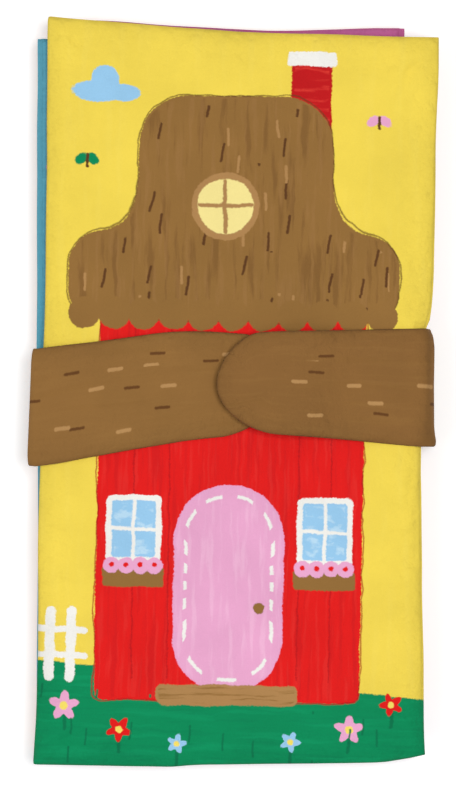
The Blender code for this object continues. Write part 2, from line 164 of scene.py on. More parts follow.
class Picture:
    """A print on cloth, painted shape over shape in millimetres, with a dry brush's edges."""

    def __init__(self, finish, point, ground, wobble=0.5):
        self.finish = finish
        wander = finish.vector("SUBTRACT", finish.cloud(point, 0.16, 3.0, colour=True),
                               (0.5, 0.5, 0.5))
        flat = finish.vector("MULTIPLY", wander, (2 * wobble, 2 * wobble, 0))
        self.cloth = point
        self.point = finish.vector("ADD", point, flat)
        self.rough = (finish.cloud(point, 1.3, 4.0) - 0.5) * 0.9
        self.colour = ground

    def local(self, x, y, turn=0):
        spot = self.finish.vector("SUBTRACT", self.point, (x, y, 0))
        if turn:
            spot = self.finish.node("ShaderNodeVectorRotate", {"rotation_type": "Z_AXIS"},
                                    {"Vector": spot, "Angle": -turn})
        return spot

    def repeat(self, wide, high, slide=0.5):
        """From here on, every wide by high cell shows the same; rows slide against each other."""
        finish = self.finish
        row = self.part(self.point, 1) / high + 0.5
        row = row.math("FLOOR", row)
        shift = finish.node("ShaderNodeCombineXYZ", None, {0: row * (slide * wide)})
        moved = finish.vector("ADD", self.point, shift)
        half = (wide / 2, high / 2, 1)
        self.point = finish.vector("WRAP", moved, half, [-size for size in half])

    def part(self, vector, index):
        split = self.finish.node("ShaderNodeSeparateXYZ", None, {0: vector})
        return Value(self.finish, split.socket.node.outputs[index])

    def disc(self, x, y, radius):
        return self.finish.vector("DISTANCE", self.point, (x, y, 0), output=1) - radius

    def oval(self, x, y, wide, high, turn=0):
        """An oval of half sizes wide and high, turned anticlockwise."""
        spot = self.finish.vector("MULTIPLY", self.local(x, y, turn), (1 / wide, 1 / high, 0))
        return (self.finish.vector("LENGTH", spot, output=1) - 1) * min(wide, high)

    def block(self, x, y, wide, high, corner, turn=0):
        """A block of half sizes wide and high with round corners."""
        spot = self.finish.vector("ABSOLUTE", self.local(x, y, turn))
        spot = self.finish.vector("SUBTRACT", spot, (wide - corner, high - corner, 0))
        spot = self.finish.vector("MAXIMUM", spot, (0, 0, 0))
        return self.finish.vector("LENGTH", spot, output=1) - corner

    def stroke(self, start, end, radius):
        """A round-ended brush stroke from start to end."""
        middle = [(a + b) / 2 for a, b in zip(start, end)]
        reach = math.dist(start, end) / 2
        turn = math.atan2(end[1] - start[1], end[0] - start[0])
        return self.block(*middle, reach + radius, radius, radius, turn)

    def flower(self, x, y, radius, petals, depth=0.3, turn=0):
        """A flower seen from the front; petals may be any whole number."""
        spot = self.local(x, y, turn)
        angle = self.part(spot, 1).math("ARCTAN2", self.part(spot, 1), self.part(spot, 0))
        lobes = angle.math("COSINE", angle * petals) * (depth * radius) + radius
        return self.finish.vector("LENGTH", spot, output=1) - lobes

    def slope(self, x, y, rise):
        """Everything below a line through x and y."""
        return self.part(self.point, 1) - self.part(self.point, 0) * rise - (y - rise * x)

    def paint(self, distance, colour, edge=INK_EDGE, share=1.0):
        mask = (distance + self.rough).inside(edge)
        if share != 1.0:
            mask = mask * share
        self.colour = self.finish.mix(mask, self.colour, ink(*colour))

    def outline(self, distance, colour, width=0.5):
        """A thin broken line just outside a shape."""
        wander = (self.finish.cloud(self.cloth, 0.07, 3.0) - 0.5) * 3.0
        line = (distance + wander - 0.2).size() - width / 2 + self.rough.size() * 0.8
        self.colour = self.finish.mix(line.inside(INK_EDGE) * 0.8, self.colour, ink(*colour))

    def brush(self, distance, colour, stretch, share=0.5):
        """Long dry strokes of another shade inside a shape."""
        drawn = self.finish.vector("MULTIPLY", self.point, (*stretch, 0))
        streak = self.finish.cloud(drawn, 1.0, 5.0)
        mask = (streak - 0.52).math("MULTIPLY", streak - 0.52, 9.0, clamp=True)
        mask = mask * (distance + self.rough + 0.8).inside(INK_EDGE) * share
        self.colour = self.finish.mix(mask, self.colour, ink(*colour))

    def dashes(self, cell, dash, colour, amount, where=None, seed=0.0, lying=0.0):
        """Short strokes scattered one to a cell; amount is the share of cells that have one."""
        finish = self.finish
        point = self.point
        if lying:
            point = finish.node("ShaderNodeVectorRotate", {"rotation_type": "Z_AXIS"},
                                {"Vector": point, "Angle": -lying})
        spot = finish.vector("MULTIPLY_ADD", point, (1 / cell[0], 1 / cell[1], 0),
                             (seed, seed, 0))
        cells = finish.node("ShaderNodeTexVoronoi", {"voronoi_dimensions": "2D"},
                            {"Vector": spot, "Scale": 1.0, "Randomness": 0.75}, "Position")
        luck = finish.node("ShaderNodeTexWhiteNoise", {"noise_dimensions": "2D"},
                           {"Vector": cells})
        off = finish.vector("SUBTRACT", spot, cells)
        off = finish.vector("MULTIPLY", off, (*cell, 0))
        off = finish.node("ShaderNodeVectorRotate", {"rotation_type": "Z_AXIS"},
                          {"Vector": off, "Angle": (luck - 0.3) * 0.35})
        off = finish.vector("ABSOLUTE", off)
        off = finish.vector("SUBTRACT", off, (dash[0] / 2 - dash[1] / 2, 0, 0))
        off = finish.vector("MAXIMUM", off, (0, 0, 0))
        distance = finish.vector("LENGTH", off, output=1) - dash[1] / 2 + self.rough * 0.5
        mask = distance.inside(INK_EDGE) * (1 - luck.over(amount))
        if where:
            mask = mask * where.inside(INK_EDGE)
        self.colour = finish.mix(mask, self.colour, ink(*colour))


def weave(finish, point, colour, roughness=0.82, seams=True):
    """Ends a cloth finish: uneven ink, fine grain, crossing threads and a faint sheen. Towards
    its seams the cloth is more crumpled, and its colour is painted darker there as shade of the
    rounded edge."""
    uneven = finish.cloud(point, 0.05, 4.0)
    grain = finish.cloud(point, 2.2, 2.0)
    shade = uneven * 0.26 + grain * 0.08 + 0.83
    bump = {"Strength": 0.13, "Distance": 0.00012}
    if seams:
        inset = finish.node("ShaderNodeAttribute", {"attribute_name": "seam"}, output=2)
        close = inset.math("MULTIPLY_ADD", inset, -1 / CRUMPLE_REACH, 1, clamp=True)
        crumple = (finish.cloud(point, CRUMPLE_SCALE, 3.0) - 0.5) * (close * 0.7 + 0.3)
        bump["Normal"] = finish.node("ShaderNodeBump", None,
                                     {"Distance": CRUMPLE_RISE, "Height": crumple})
        # Painted shade: the colour darkens within 5.5 mm of a seam, and more within 1.2 mm, where
        # a padded edge rounds down away from the light.
        shade = shade * (inset.math("MULTIPLY", inset, 1 / 5.5, clamp=True) * 0.08 + 0.92)
        shade = shade * (inset.math("MULTIPLY", inset, 1 / 1.2, clamp=True) * 0.14 + 0.86)
    tint = finish.node("ShaderNodeCombineColor", None, {0: shade, 1: shade, 2: shade})
    finish.feed(finish.shader.inputs["Base Color"], finish.mix(1.0, colour, tint, "MULTIPLY"))
    finish.feed(finish.shader.inputs["Roughness"], grain * 0.12 + (roughness - 0.06))
    threads = finish.vector("MULTIPLY", point, (2 * math.pi / THREAD_PITCH,) * 3)
    waves = finish.vector("SINE", threads)
    crossed = finish.vector("DOT_PRODUCT", waves, (0.25, 0.25, 0.0), output=1)
    bump["Height"] = crossed + grain * 0.5
    finish.feed(finish.shader.inputs["Normal"], finish.node("ShaderNodeBump", None, bump))
    finish.shader.inputs["Sheen Weight"].default_value = 0.03
    finish.shader.inputs["Sheen Roughness"].default_value = 0.5
    finish.shader.inputs["Specular IOR Level"].default_value = 0.15
    return finish.material


def dense_ends(share, pull=0.62):
    """A share from 0 to 1, moved so that even steps crowd towards both ends."""
    return share - pull * math.sin(2 * math.pi * share) / (2 * math.pi)


def on_line(line, share):
    """The value at a share along a line drawn through (share, value) points."""
    for (before, low), (after, high) in zip(line, line[1:]):
        if share <= after:
            return low + (high - low) * (share - before) / (after - before)
    return line[-1][1]


class Outline:
    """A page's four edges, and whether the left and right ones are folds. Each edge is a
    line through points: a share along the edge, and a place in millimetres."""

    def __init__(self, left, right, foot, head, folds):
        self.corners = [FOLD_CORNER if fold else PAGE_CORNER for fold in folds]
        self.left, self.right, self.foot, self.head = (
            [(share, place / MILLIMETRES) for share, place in line]
            for line in (left, right, foot, head))
        self.width = self.right[0][1] - self.left[0][1]
        self.length = self.head[0][1] - self.foot[0][1]

    def round_corner(self, across, along):
        """Shares across and along, drawn in where the corner is turned round."""
        side = min(across, 1 - across) * self.width
        end = min(along, 1 - along) * self.length
        corner = self.corners[0 if across < 0.5 else 1]
        if side >= corner or end >= corner:
            return across, along
        reach = (corner - side, corner - end)
        pull = max(reach) / math.hypot(*reach)
        side = (corner - reach[0] * pull) / self.width
        end = (corner - reach[1] * pull) / self.length
        return (side if across < 0.5 else 1 - side), (end if along < 0.5 else 1 - end)

    def point(self, across, along):
        """The place of a share across and along, before it gets a height."""
        across, along = self.round_corner(across, along)
        left, right = on_line(self.left, along), on_line(self.right, along)
        foot, head = on_line(self.foot, across), on_line(self.head, across)
        x = left + (right - left) * across
        y = foot + (head - foot) * along
        side = 2 * across - 1
        end = 2 * along - 1
        x += side * abs(side) ** 7 * EDGE_WANDER * noise.noise(Vector((y * 45, side, 3)))
        y += end * abs(end) ** 11 * EDGE_WANDER * noise.noise(Vector((x * 45, end, 7)))
        return x, y


def finished_piece(name, form, finishes):
    """Ends a shaped form: gives it its cloths and puts it in the scene."""
    made = bpy.data.meshes.new(name)
    form.to_mesh(made)
    form.free()
    for finish in finishes:
        made.materials.append(finish)
    made.shade_smooth()
    piece = bpy.data.objects.new(name, made)
    bpy.context.scene.collection.objects.link(piece)
    return piece


def padded_case(name, mesh, place, finishes, spread=None):
    """A closed case of two cloths, each a grid; place gives a point of the upper (1) or
    lower (-1) cloth and how far it is from a seam, and spread gives the same point on the
    flat cloth, in metres."""
    form = bmesh.new()
    seam = form.verts.layers.float.new("seam")
    bmesh.ops.create_grid(form, x_segments=mesh[0], y_segments=mesh[1], size=0.5)
    upper = form.verts[:]
    copy = bmesh.ops.duplicate(form, geom=form.verts[:] + form.edges[:] + form.faces[:])
    lower = [part for part in copy["geom"] if isinstance(part, bmesh.types.BMVert)]
    below = [part for part in copy["geom"] if isinstance(part, bmesh.types.BMFace)]
    bmesh.ops.reverse_faces(form, faces=below)
    for face in below:
        face.material_index = len(finishes) - 1
    layer = form.loops.layers.uv.new("cloth") if spread else None
    shares = {}
    for side, verts in ((1, upper), (-1, lower)):
        for vert in verts:
            across, along = dense_ends(vert.co.x + 0.5), dense_ends(vert.co.y + 0.5)
            shares[vert] = (across, along)
            vert.co, inset = place(across, along, side)
            vert[seam] = inset * MILLIMETRES
    if spread:
        for face in form.faces:
            for loop in face.loops:
                loop[layer].uv = spread(*shares[loop.vert])
    bmesh.ops.remove_doubles(form, verts=form.verts, dist=SAME_PLACE)
    bmesh.ops.recalc_face_normals(form, faces=form.faces)
    return finished_piece(name, form, finishes)


def cushion_rise(inset, rim):
    """How much of its thickness a pad has at a distance from its seam."""
    return (1 - (1 - min(1, inset / rim)) ** SEAM_POWER) ** 0.55


def press(crease, x, y):
    """How far a crease lifts the cloth at a place: it has a middle, a turn, a length, a
    width and a height, and a shallow swell beside it."""
    middle_x, middle_y, turn, long, wide, high = crease
    along = (x - middle_x) * math.cos(turn) + (y - middle_y) * math.sin(turn)
    beside = (y - middle_y) * math.cos(turn) - (x - middle_x) * math.sin(turn)
    beside += 0.15 * along * along / long
    line = math.exp(-(beside / wide) ** 2) - 0.45 * math.exp(-((beside - 2 * wide) / wide) ** 2)
    return high * line * math.exp(-(along / long) ** 2)


def page_pad(name, outline, level, finishes, puckers=(0.0, 0.0), crown=0.0, creases=()):
    """A page's padded case: level 0 is the lowest of the five."""
    middle = level * PAGE_PITCH + PAGE_THICK / 2

    def place(across, along, side):
        x, y = outline.point(across, along)
        beside = min(across, 1 - across) * outline.width
        inset = min(beside, min(along, 1 - along) * outline.length)
        rise = cushion_rise(inset, PAGE_RIM)
        height = PAGE_THICK / 2 * rise
        if side > 0 and crown:
            height += crown * (1 - (2 * across - 1) ** 2) * (1 - (2 * along - 1) ** 2)
        pucker = puckers[0 if side > 0 else 1]
        if pucker:
            fade = math.exp(-((inset - PAGE_RIM) / 0.009) ** 2)
            fold = noise.noise(Vector(((y if inset == beside else x) * 190, inset * 35, side * 5)))
            broad = noise.noise(Vector((x * 26, y * 17, side * 9)))
            height += pucker * rise * (fold * fade + 0.8 * broad)
        for crease in creases if side > 0 else ():
            height += press(crease, x, y) * rise
        return (x, y, middle + side * height), inset

    return padded_case(name, PAGE_MESH, place, finishes)


def new_print(name, ground, wobble=0.5):
    """An empty print that covers a page, ready to be painted on."""
    finish = Finish(name)
    return Picture(finish, finish.place((MILLIMETRES, MILLIMETRES, 0)), ink(*ground), wobble)


def printed(picture, roughness=0.82):
    return weave(picture.finish, picture.cloth, picture.colour, roughness)


def plain_cloth(name, ground):
    """The plain strip of cloth at the edge of a print, which goes round a fold."""
    return printed(new_print(name, ground))


PAGE_THICK = 0.0033
PAGE_PITCH = 0.0036

back_outline = Outline(((0, -56.5), (1, -56.5)), ((0, 57.0), (1, 57.0)),
                       ((0, -113.0), (1, -109.5)), ((0, 111.0), (1, 109.5)), (True, False))
YELLOW = (246, 218, 83)
PINK = (238, 170, 208)
WHITE = (246, 244, 238)
SKY = (155, 205, 240)
GREEN = (0, 140, 88)
DARK_GREEN = (0, 118, 76)
RED = (231, 26, 24)
BROWN = (149, 109, 56)
DARK_BROWN = (96, 60, 30)
TAN = (178, 134, 82)

# Inside, clouds on pale blue
pale_blue = new_print("pale_blue_print", SKY)
pale_blue.brush(pale_blue.slope(0, 500, 0), (172, 216, 245), (0.03, 0.5))
pale_blue.repeat(38, 27)
pale_blue.paint(pale_blue.oval(-4, 0, 7, 3.6), WHITE)
pale_blue.paint(pale_blue.disc(2, 2, 4.2), WHITE)
pale_blue.paint(pale_blue.oval(6, -0.6, 5, 3), WHITE)
pale_blue.paint(pale_blue.disc(14, 9, 1.1), (246, 219, 84))
pale_blue_print = printed(pale_blue)

# Outside, a yellow ground with small flowers over a green meadow
backdrop = new_print("back_print", YELLOW)
backdrop.brush(backdrop.slope(0, 500, 0), (250, 228, 112), (0.03, 0.5))
backdrop_ground = backdrop.slope(0, -84, -0.06)
backdrop.paint(backdrop_ground, GREEN)
backdrop.brush(backdrop_ground, (16, 164, 104), (0.04, 0.5))
backdrop.dashes((7, 9), (4.2, 0.7), DARK_GREEN, 0.6, backdrop_ground + 4, lying=1.5)
backdrop.repeat(42, 36)
backdrop.paint(backdrop.flower(0, 2, 3.6, 5), PINK)
backdrop.paint(backdrop.disc(0, 2, 1.3), RED)
backdrop.paint(backdrop.oval(13, -9, 2.4, 1.1, 0.7), SKY)
back_print = printed(backdrop)
back_cover = page_pad("back_cover_case", back_outline, 0, (pale_blue_print, back_print),
                      (PAGE_PUCKER, 0.0))
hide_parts("back_cover_inner_cloth", "back_cover_outer_cloth")
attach(back_cover, "back_cover")

# Page 4, padded like the back cover and joined to its left edge by a fold of cloth
# without wadding, so that the book opens in a zigzag.
FOLD_THICK = 0.001
FOLD_REACH = 0.0012
TIGHT_REACH = 0.0005
FOLD_GAP = 0.0003
FOLD_END = 0.0006
FOLD_TUCK = 0.0014
FOLD_LEG = 0.14
FOLD_SQUARE = 0.33
FOLD_MESH = (15, 90)


def middle_x(faces):
    return sum(face.calc_center_median().x for face in faces) / len(faces)


def fold_strip(name, lower, lower_level, upper, side, finishes, node, under=0.0,
               reach=FOLD_REACH):
    """The fold between two pages at their left (-1) or right (+1) edges: a thick strip
    tucked into both seams, drawn round in half a turn. It ends some millimetres under the
    upper page's edge, and reaches out from the seams. The finishes are those of its outer
    cloth and its inner one."""
    low = lower_level * PAGE_PITCH + PAGE_THICK / 2
    high = low + PAGE_PITCH
    form = bmesh.new()
    seam = form.verts.layers.float.new("seam")
    bmesh.ops.create_grid(form, x_segments=FOLD_MESH[0], y_segments=FOLD_MESH[1], size=0.5)
    for vert in form.verts:
        turn, along = vert.co.x + 0.5, dense_ends(vert.co.y + 0.5)
        along = FOLD_END + (1 - 2 * FOLD_END) * along
        across = 0 if side < 0 else 1
        x_low = lower.point(across, along)[0]
        x_high, y = upper.point(across, along)
        x_high -= side * under / MILLIMETRES
        sweep = min(1, max(0, (turn - FOLD_LEG) / (1 - 2 * FOLD_LEG)))
        x = x_low + (x_high - x_low) * sweep + side * FOLD_GAP
        x += side * reach * math.sin(math.pi * sweep)
        tuck = max(0, FOLD_LEG - turn, turn - (1 - FOLD_LEG)) / FOLD_LEG
        x -= side * (FOLD_TUCK + FOLD_GAP) * tuck
        turned = math.cos(math.pi * sweep)
        z = (low + high - (high - low) * math.copysign(abs(turned) ** FOLD_SQUARE, turned)) / 2
        vert.co = (x, y, z)
        # These seam values drive the finish's painted shade: the fold is painted darkest where it
        # tucks into the seams.
        vert[seam] = 4 * math.sin(math.pi * sweep) ** 2 + 0.6
    form.normal_update()
    for vert in form.verts:
        vert.co += vert.normal * FOLD_THICK / 2
    drawn = set(form.faces)
    bmesh.ops.solidify(form, geom=form.faces[:], thickness=FOLD_THICK)
    bmesh.ops.recalc_face_normals(form, faces=form.faces)
    others = [face for face in form.faces if face not in drawn]
    for face in min(drawn, others, key=lambda cloth: side * middle_x(cloth)):
        face.material_index = 1
    piece = finished_piece(name, form, finishes)
    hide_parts(node)
    seam = lower.point(0 if side < 0 else 1, 0.5)[0]
    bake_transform(piece)
    return piece


page_4_outline = Outline(((0, -56.5), (1, -56.5)), ((0, 50.2), (1, 50.2)),
                         ((0, -112.0), (1, -108.6)), ((0, 110.0), (1, 109.0)), (True, True))
ORANGE = (240, 150, 70)
orange = new_print("orange_print", ORANGE)
orange.brush(orange.slope(0, 500, 0), (246, 168, 88), (0.4, 0.03))
orange.repeat(30, 24)
orange.paint(orange.flower(0, 0, 5, 6, 0.22), (248, 204, 96))
orange.paint(orange.disc(0, 0, 1.9), RED)
orange.paint(orange.oval(9.5, -6, 2.6, 1.0, 0.6), GREEN)
orange_print = printed(orange)
page_4 = page_pad("page_4_case", page_4_outline, 1, (orange_print, pale_blue_print),
                  (PAGE_PUCKER, PAGE_PUCKER))
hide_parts("page_4_upper_cloth", "page_4_lower_cloth")
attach(page_4, "page_4")
orange_cloth = plain_cloth("orange_cloth", ORANGE)
orange_fold = fold_strip("fold_back_cover_to_page_4_cloth", back_outline, 0, page_4_outline, -1,
                         (orange_cloth, plain_cloth("pale_blue_cloth", SKY)),
                         "fold_back_cover_to_page_4",
                         reach=TIGHT_REACH)

# Page 3, a little wider at the top end, joined to page 4's right edge.
page_3_outline = Outline(
    ((0, -56.6), (0.3, -57.0), (1, -58.6)), ((0, 50.2), (1, 50.2)), ((0, -112.5), (1, -109.0)),
    ((0, 115.2), (0.06, 115.5), (0.16, 115.1), (0.28, 114.3), (0.42, 113.7), (0.51, 113.3),
     (0.62, 113.2), (0.71, 113.3), (0.83, 113.7), (0.93, 114.4), (1, 114.6)), (True, True))
MAGENTA = (203, 101, 153)
magenta = new_print("magenta_print", MAGENTA)
magenta.brush(magenta.slope(0, 500, 0), (202, 108, 164), (0.03, 0.5))
magenta.repeat(26, 26)
magenta.paint(magenta.disc(0, 0, 4.4), (226, 142, 190))
magenta.paint(magenta.disc(0.4, 0.5, 2.1), (246, 219, 84))
magenta_print = printed(magenta)
page_3 = page_pad("page_3_case", page_3_outline, 2, (magenta_print, orange_print),
                  (PAGE_PUCKER, PAGE_PUCKER))
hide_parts("page_3_upper_cloth", "page_3_lower_cloth")
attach(page_3, "page_3")
magenta_cloth = plain_cloth("magenta_cloth", MAGENTA)
magenta_fold = fold_strip("fold_page_4_to_page_3_cloth", page_4_outline, 1, page_3_outline, 1,
                          (magenta_cloth, orange_cloth),
                          "fold_page_4_to_page_3", reach=TIGHT_REACH)

# Page 2 stands out past the cover's left edge, and is joined to page 3 on that side. The
# arms draw in the fold between it and the cover. Opened out, it just meets the cover.
FOLD_COVER = 1.7
COVER_AXIS = 60.8
OPEN_GAP = 0.4
GRIPPED_EDGE = ((0, 60.4), (0.06, 59.5), (0.16, 58.5), (0.26, 58.1), (0.34, 57.3), (0.39, 57.0),
                (0.43, 57.2), (0.597, 57.4), (0.606, 58.9), (0.63, 59.5), (0.67, 59.9), (1, 60.5))
page_2_outline = Outline(
    ((0, -56.6), (0.3, -57.3), (0.6, -59.6), (1, -61.2)),
    [(share, min(place - 0.3, 2 * COVER_AXIS - FOLD_COVER - place - OPEN_GAP))
     for share, place in GRIPPED_EDGE],
    ((0, -113.4), (1, -109.0)), ((0, 109.1), (1, 109.5)), (True, True))
TEAL = (94, 167, 188)
teal = new_print("teal_print", TEAL)
teal.brush(teal.slope(0, 500, 0), (104, 177, 197), (0.03, 0.5))
teal.repeat(34, 30)
teal.paint(teal.oval(-3, 2, 4.6, 2.2, 0.9), GREEN)
teal.paint(teal.oval(3, 2, 4.6, 2.2, -0.9), (126, 196, 120))
teal.paint(teal.stroke((0, -7), (0, 1), 0.5), DARK_GREEN)
teal.paint(teal.disc(11, 9, 1.6), PINK)
teal_print = printed(teal)
page_2 = page_pad("page_2_case", page_2_outline, 3, (teal_print, magenta_print),
                  (PAGE_PUCKER, PAGE_PUCKER))
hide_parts("page_2_upper_cloth", "page_2_lower_cloth")
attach(page_2, "page_2")
teal_cloth = plain_cloth("teal_cloth", TEAL)
teal_fold = fold_strip("fold_page_3_to_page_2_cloth", page_3_outline, 2, page_2_outline, -1,
                       (teal_cloth, magenta_cloth),
                       "fold_page_3_to_page_2")

# The front cover, printed with a cottage on a hill. It has the most wadding, so it swells
# to a crown, and the arms draw its fold side in.
COVER_CROWN = 0.001
COVER_PUCKER = 0.0009
COVER_SLACK = 0.010
COVER_AIR = 0.4
COVER_MOVES = (0.0005, 0.0001)
AIR_FRAMES = 10
# Creases where the arms pull at the cover: middle, turn, length, width and height
COVER_CREASES = (
    (-0.052, -0.027, -0.25, 0.0065, 0.0011, -0.0007),
    (-0.0555, -0.033, -0.9, 0.005, 0.001, -0.0005),
    (-0.054, 0.0215, 0.45, 0.006, 0.0011, -0.0005), (0.055, 0.0265, 2.3, 0.007, 0.0011, -0.0006),
    (0.0565, 0.036, 1.9, 0.007, 0.0011, -0.0005), (0.0545, -0.0185, -2.2, 0.006, 0.0011, -0.0005),
    (0.0555, -0.029, -1.8, 0.008, 0.0011, -0.0004), (0.052, 0.098, 1.2, 0.007, 0.0012, -0.0004),
    (-0.054, -0.1, 0.9, 0.007, 0.0012, -0.0004), (0.053, -0.098, -0.9, 0.007, 0.0012, -0.0004),
    (0.050, -0.052, 0.3, 0.010, 0.0016, -0.0004), (-0.051, -0.066, 0.2, 0.008, 0.0014, -0.0004),
)


def blow_up(piece, slack, air, most):
    """Blows a pad up while its seam is held. Its cloth is a share larger than its outline, so
    it puckers. Most says how far the upper cloth may rise, and either cloth sink or rise
    elsewhere: the wadding is just under them."""
    seam = piece.data.attributes["seam"].data
    held = piece.vertex_groups.new(name="held")
    held.add([vert.index for vert in piece.data.vertices if seam[vert.index].value < 0.05], 1.0,
             "REPLACE")
    cloth = piece.modifiers.new("air", "CLOTH")
    cloth.settings.quality = 5
    cloth.settings.mass = 0.05
    cloth.settings.tension_stiffness = 15
    cloth.settings.compression_stiffness = 15
    cloth.settings.bending_stiffness = 0.5
    cloth.settings.shrink_min = -slack
    cloth.settings.vertex_group_mass = held.name
    cloth.settings.use_pressure = True
    cloth.settings.uniform_pressure_force = air
    cloth.settings.effector_weights.gravity = 0
    cloth.collision_settings.use_collision = False
    scene = bpy.context.scene
    for number in range(1, AIR_FRAMES + 1):
        scene.frame_set(number)
    blown = piece.evaluated_get(bpy.context.evaluated_depsgraph_get())
    places = [vert.co.copy() for vert in blown.data.vertices]
    piece.modifiers.remove(cloth)
    piece.vertex_groups.remove(held)
    scene.frame_set(1)
    for vert, place in zip(piece.data.vertices, places):
        move = place.z - vert.co.z
        limit = most[0 if vert.normal.z > 0 and move > 0 else 1]
        vert.co.z += limit * math.tanh(move / limit)


cover_outline = Outline(
    ((0, -59.5), (0.08, -59.0), (0.15, -58.6), (0.23, -58.9), (0.29, -59.3), (0.33, -59.3),
     (0.58, -58.5), (0.82, -58.7), (0.92, -59.2), (1, -59.3)),
    [(share, place + FOLD_COVER) for share, place in GRIPPED_EDGE],
    ((0, -116.0), (0.05, -116.0), (0.19, -115.6), (0.36, -115.8), (0.39, -115.2),
     (0.44, -114.8), (0.56, -114.6), (0.76, -113.6), (0.87, -113.3), (0.9, -113.0),
     (0.96, -111.6), (1, -110.4)),
    ((0, 116.0), (0.19, 114.1), (0.48, 112.1), (0.57, 112.1), (0.8, 111.5), (1, 111.5)),
    (False, True))
cover_art = new_print("cover_print", YELLOW, 0.7)
cover_art.brush(cover_art.slope(0, 500, 0), (250, 226, 104), (0.35, 0.03), 0.14)

# A green hill with tufts of grass and a path
hill = cover_art.slope(0, -88, -0.085)
cover_art.paint(hill, GREEN)
cover_art.brush(hill, (6, 152, 98), (0.035, 0.4), 0.6)
cover_art.brush(hill + 6, (0, 130, 84), (0.05, 0.6), 0.45)

# The red wall, with its shaded side and planks
wall = cover_art.block(0, -33, 41, 62, 3)
cover_art.paint(wall, RED)
cover_art.brush(wall, (200, 24, 28), (0.5, 0.03), 0.4)
cover_art.brush(wall, (236, 56, 50), (0.7, 0.05), 0.35)
for plank in (-30, -19, 21, 31):
    cover_art.paint(cover_art.stroke((plank, 22), (plank + 0.5, -88), 0.22), (186, 18, 24),
                    share=0.7)
cover_art.outline(wall, (170, 20, 22))

# The round-topped pink door with a white dashed line, its knob and step
door = cover_art.block(0, -60, 17, 32, 16.5)
cover_art.paint(door, PINK)
cover_art.brush(door, (246, 190, 220), (0.5, 0.05), 0.6)
door_spot = cover_art.local(0, -58)
door_turn = cover_art.part(door_spot, 1).math(
    "ARCTAN2", cover_art.part(door_spot, 1), cover_art.part(door_spot, 0))
door_stitch = (door + 3.6).size() - 0.55
door_stitch = door_stitch.at_least(door_turn.math("SINE", door_turn * 17) * 2 - 0.3)
cover_art.paint(door_stitch, WHITE)
cover_art.paint(cover_art.disc(9.5, -66, 1.7), BROWN)
cover_art.paint(cover_art.block(0, -93, 22, 3.2, 2.4), TAN)
cover_art.brush(cover_art.block(0, -93, 22, 3.2, 2.4), BROWN, (0.08, 0.9), 0.8)

# Two windows with pale blue panes, and boxes of pink flowers under them
for across in (-29.5, 29.5):
    cover_art.paint(cover_art.block(across, -42, 8.6, 10.5, 2), WHITE)
    pane = cover_art.block(across, -42, 6.8, 8.7, 1)
    cover_art.paint(pane, SKY)
    cover_art.brush(pane, (196, 228, 248), (0.2, 0.3), 0.8)
    cover_art.paint(cover_art.stroke((across, -51), (across, -33), 0.55), WHITE)
    cover_art.paint(cover_art.stroke((across - 7, -42), (across + 7, -42.4), 0.55), WHITE)
    cover_art.paint(cover_art.block(across, -57, 9.5, 3, 1), BROWN)
    for step in (-6.6, -2.2, 2.2, 6.6):
        cover_art.paint(cover_art.disc(across + step, -53.4, 2.6), PINK)
        cover_art.paint(cover_art.disc(across + step, -53.2, 0.8), RED)

# The red chimney with its white cap, and the thatched roof: a brown mass with straws
eaves = cover_art.block(0, 36, 51, 13, 9)
ridge = cover_art.block(0, 66, 30, 26, 15)
roof = eaves.math("SMOOTH_MIN", eaves, ridge, 26.0)
cover_art.paint(cover_art.block(23, 92, 6.2, 13, 1), (196, 22, 26))
cover_art.brush(cover_art.block(23, 92, 6.2, 13, 1), (228, 60, 50), (0.08, 0.5), 0.8)
cover_art.paint(cover_art.block(23, 104, 7.6, 2.2, 1), WHITE)
cover_art.paint(roof, BROWN)
cover_art.brush(roof, (128, 90, 46), (0.4, 0.04), 0.7)
cover_art.brush(roof, (158, 116, 66), (0.6, 0.05), 0.5)
cover_art.dashes((9, 13), (6.2, 0.8), DARK_BROWN, 0.75, roof + 3, lying=1.45)
cover_art.dashes((12, 15), (5.6, 0.8), TAN, 0.6, roof + 3, seed=0.4, lying=1.6)
cover_art.outline(roof, DARK_BROWN)
for step in range(-5, 6):
    cover_art.paint(cover_art.disc(step * 9.2, 24.5, 4.9), BROWN)

# A small round window under the ridge
cover_art.paint(cover_art.disc(-3, 58, 10.5), TAN)
cover_art.paint(cover_art.disc(-3, 58, 8.6), (250, 232, 150))
cover_art.paint(cover_art.stroke((-3, 50), (-3.4, 66), 0.6), TAN)
cover_art.paint(cover_art.stroke((-11, 58), (5, 58.4), 0.6), TAN)

# Flowers, grass, a fence and a cloud
for x, y, size, colour in ((-50, -97, 4.6, PINK), (-33, -104, 3.8, RED), (38, -103, 4.4, PINK),
                           (51, -95, 3.6, RED), (-15, -108, 3.0, SKY), (20, -107, 3.2, SKY)):
    cover_art.paint(cover_art.stroke((x, y - 7), (x + 0.4, y), 0.5), DARK_GREEN)
    cover_art.paint(cover_art.flower(x, y, size * 0.8, 5, 0.3, x), colour)
    cover_art.paint(cover_art.disc(x, y, size * 0.28), (250, 226, 104))
cover_art.dashes((11, 10), (5.2, 0.6), DARK_GREEN, 0.45, hill + 7, lying=1.5)
for x in (-55, -48.5):
    cover_art.paint(cover_art.stroke((x, -88), (x + 0.3, -68), 1.5), WHITE)
cover_art.paint(cover_art.stroke((-60, -73), (-44, -73.6), 1.0), WHITE)
cover_art.paint(cover_art.stroke((-60, -81), (-44, -81.6), 1.0), WHITE)
cover_art.paint(cover_art.oval(-43, 93, 8, 3.4), SKY)
cover_art.paint(cover_art.disc(-41, 96.5, 4.4), SKY)
cover_art.paint(cover_art.oval(-35, 92.6, 5, 2.6), SKY)
